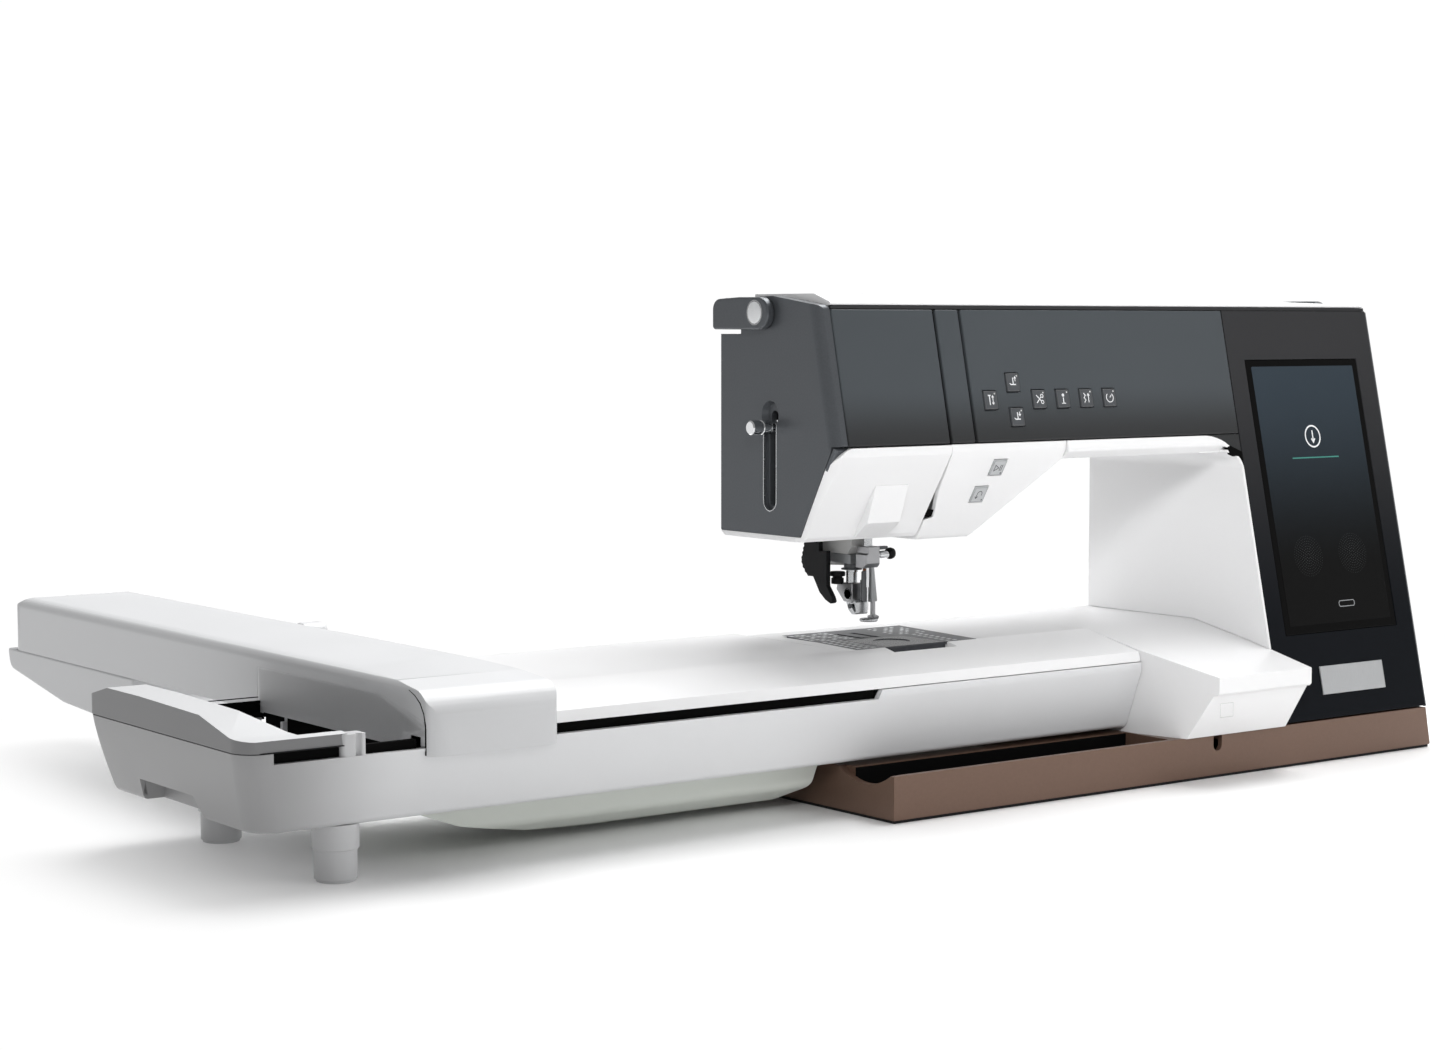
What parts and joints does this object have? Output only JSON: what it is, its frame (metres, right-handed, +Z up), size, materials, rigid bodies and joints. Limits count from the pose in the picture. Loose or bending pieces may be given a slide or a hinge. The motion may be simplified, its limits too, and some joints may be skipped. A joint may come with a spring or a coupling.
{
  "type": "sewing machine",
  "caption": "Computer sewing machine with a free-arm bed, touch screen column and an attached embroidery unit with a sliding hoop arm.",
  "frame": {"origin": "middle of the base tray's underside, on the surface that the machine stands on", "axes": "+X to the right as the user sees it, +Y to the back, +Z up"},
  "size_m": [0.929, 0.651, 0.3193],
  "materials": {
    "white_plastic": "satin white moulded plastic",
    "dark_panel": "smooth dark grey lacquer",
    "side_metal": "dark grey metallic paint",
    "column_panel": "near-black gloss",
    "brown_metal": "brown metallic paint",
    "black_rubber": "matt black",
    "black_plastic": "matt black",
    "screen_glass": "dark glass",
    "badge_metal": "brushed",
    "button_grey": "satin dark grey",
    "button_light": "satin light grey",
    "casting": "cast",
    "plate_steel": "satin steel",
    "smoke_plastic": "smoked plastic",
    "bright_steel": "ground steel",
    "foot_metal": "satin steel",
    "knob_chrome": "chrome",
    "unit_white": "satin off-white plastic",
    "pan_white": "satin greenish white plastic",
    "arm_grey": "satin light grey plastic",
    "carriage_grey": "matt dark grey plastic"
  },
  "bodies": {
    "machine": {"base_tray": "brown_metal", "base_plate": "black_rubber", "frame_casting": "casting", "free_arm_cover": "white_plastic", "column_base_cover": "white_plastic", "column_front_panel": "column_panel", "screen_glass": "screen_glass", "badge_plate": "badge_metal", "column_inner_cover": "white_plastic", "arm_under_cover": "white_plastic", "rear_cover": "white_plastic", "right_side_cover": "side_metal", "power_inlet": "black_plastic", "head_side_plate": "side_metal", "head_front_panel": "dark_panel", "thread_path_panel": "dark_panel", "arm_front_panel": "dark_panel", "head_lower_left": "white_plastic", "head_lower_right": "white_plastic", "storage_deck": "white_plastic", "needle_plate": "plate_steel", "bobbin_case": "black_plastic", "drive_motor": "black_plastic", "drive_belt": "black_rubber"},
    "lid": {"top_lid": "white_plastic"},
    "handle": {"carry_handle": "side_metal"},
    "threader": {"threader_knob": "knob_chrome"},
    "feed_lever": {"dual_feed_lever": "black_plastic"},
    "needle_group": {"needle_bar": "bright_steel", "needle_clamp": "foot_metal", "needle": "bright_steel"},
    "presser_group": {"presser_bar": "bright_steel", "foot_ankle": "foot_metal", "embroidery_foot": "foot_metal"},
    "take_up": {"take_up_lever": "bright_steel"},
    "main_drive": {"main_shaft": "bright_steel", "handwheel": "white_plastic"},
    "hook_drive": {"hook_shaft": "bright_steel"},
    "hook": {"rotary_hook": "bright_steel"},
    "bobbin_cover": {"bobbin_cover": "smoke_plastic"},
    "feed_dog": {"feed_dog": "bright_steel"},
    "winder": {"bobbin_winder": "bright_steel"},
    "unit": {"unit_body": "unit_white", "unit_top_plate": "unit_white", "unit_feet": "unit_white", "belly_pan": "pan_white", "x_rails": "bright_steel"},
    "embroidery_arm": {"x_carriage": "carriage_grey", "arm_shell": "arm_grey", "arm_housing": "arm_grey"},
    "hoop_mount": {"hoop_carriage": "arm_grey"},
    "presser_up_button": {"presser_up_button": "button_grey"},
    "needle_position_button": {"needle_position_button": "button_grey"},
    "presser_down_button": {"presser_down_button": "button_grey"},
    "thread_cut_button": {"thread_cut_button": "button_grey"},
    "stitch_restart_button": {"stitch_restart_button": "button_grey"},
    "stitch_mode_button": {"stitch_mode_button": "button_grey"},
    "speed_button": {"speed_button": "button_grey"},
    "start_stop_button": {"start_stop_button": "button_light"},
    "reverse_button": {"reverse_button": "button_light"}
  },
  "joints": [
    {"name": "lid_hinge", "type": "hinge", "parent": "machine", "child": "lid", "pos_m": [0, 0.044, 0.3193], "axis": [-1, 0, 0], "range_deg": [0, 97]},
    {"name": "handle_pivot", "type": "hinge", "parent": "machine", "child": "handle", "pos_m": [0, 0.023, 0.309], "axis": [1, 0, 0], "range_deg": [0, 90]},
    {"name": "threader_slide", "type": "slide", "parent": "machine", "child": "threader", "axis": [0, 0, 1], "range_m": [-0.048, 0.008]},
    {"name": "feed_lever_pivot", "type": "hinge", "parent": "machine", "child": "feed_lever", "pos_m": [-0.175, 0.072, 0.17], "axis": [1, 0, 0], "range_deg": [-8, 20]},
    {"name": "needle_slide", "type": "slide", "parent": "machine", "child": "needle_group", "axis": [0, 0, 1], "range_m": [-0.033, 0]},
    {"name": "presser_slide", "type": "slide", "parent": "machine", "child": "presser_group", "axis": [0, 0, 1], "range_m": [-0.01, 0.002]},
    {"name": "take_up_pivot", "type": "hinge", "parent": "machine", "child": "take_up", "pos_m": [-0.158, 0.008, 0.236], "axis": [1, 0, 0], "range_deg": [-14, 14]},
    {"name": "main_spin", "type": "hinge", "parent": "machine", "child": "main_drive", "pos_m": [0, 0.037, 0.243], "axis": [1, 0, 0], "continuous": true},
    {"name": "hook_shaft_spin", "type": "hinge", "parent": "machine", "child": "hook_drive", "pos_m": [0, 0.0286, 0.062], "axis": [1, 0, 0], "continuous": true},
    {"name": "hook_spin", "type": "hinge", "parent": "machine", "child": "hook", "pos_m": [-0.162, 0.012, 0.062], "axis": [0, 0, 1], "continuous": true},
    {"name": "bobbin_cover_slide", "type": "slide", "parent": "machine", "child": "bobbin_cover", "axis": [0, -1, 0], "range_m": [0, 0.009]},
    {"name": "feed_drop", "type": "slide", "parent": "machine", "child": "feed_dog", "axis": [0, 0, 1], "range_m": [0, 0.0045]},
    {"name": "winder_spin", "type": "hinge", "parent": "machine", "child": "winder", "pos_m": [0.205, 0.008, 0.27], "axis": [0, 0, 1], "continuous": true},
    {"name": "unit_slide", "type": "slide", "parent": "machine", "child": "unit", "axis": [-1, 0, 0], "range_m": [0, 0.26]},
    {"name": "arm_slide", "type": "slide", "parent": "unit", "child": "embroidery_arm", "axis": [1, 0, 0], "range_m": [-0.035, 0.235]},
    {"name": "hoop_slide", "type": "slide", "parent": "embroidery_arm", "child": "hoop_mount", "axis": [0, 1, 0], "range_m": [-0.084, 0.24]},
    {"name": "presser_up_button_press", "type": "slide", "parent": "machine", "child": "presser_up_button", "axis": [0, 0.9767, -0.2147], "range_m": [0, 0.0015], "stiffness_N_per_m": 400},
    {"name": "needle_position_button_press", "type": "slide", "parent": "machine", "child": "needle_position_button", "axis": [0, 0.9767, -0.2147], "range_m": [0, 0.0015], "stiffness_N_per_m": 400},
    {"name": "presser_down_button_press", "type": "slide", "parent": "machine", "child": "presser_down_button", "axis": [0, 0.9767, -0.2147], "range_m": [0, 0.0015], "stiffness_N_per_m": 400},
    {"name": "thread_cut_button_press", "type": "slide", "parent": "machine", "child": "thread_cut_button", "axis": [0, 0.9767, -0.2147], "range_m": [0, 0.0015], "stiffness_N_per_m": 400},
    {"name": "stitch_restart_button_press", "type": "slide", "parent": "machine", "child": "stitch_restart_button", "axis": [0, 0.9767, -0.2147], "range_m": [0, 0.0015], "stiffness_N_per_m": 400},
    {"name": "stitch_mode_button_press", "type": "slide", "parent": "machine", "child": "stitch_mode_button", "axis": [0, 0.9767, -0.2147], "range_m": [0, 0.0015], "stiffness_N_per_m": 400},
    {"name": "speed_button_press", "type": "slide", "parent": "machine", "child": "speed_button", "axis": [0, 0.9767, -0.2147], "range_m": [0, 0.0015], "stiffness_N_per_m": 400},
    {"name": "start_stop_button_press", "type": "slide", "parent": "machine", "child": "start_stop_button", "axis": [0, 0.8545, 0.5195], "range_m": [0, 0.0015], "stiffness_N_per_m": 400},
    {"name": "reverse_button_press", "type": "slide", "parent": "machine", "child": "reverse_button", "axis": [0, 0.8545, 0.5195], "range_m": [0, 0.0015], "stiffness_N_per_m": 400}
  ],
  "couplings": [
    {"joint": "hook_shaft_spin", "follows": "main_spin", "ratio": 1},
    {"joint": "hook_spin", "follows": "main_spin", "ratio": 2}
  ]
}
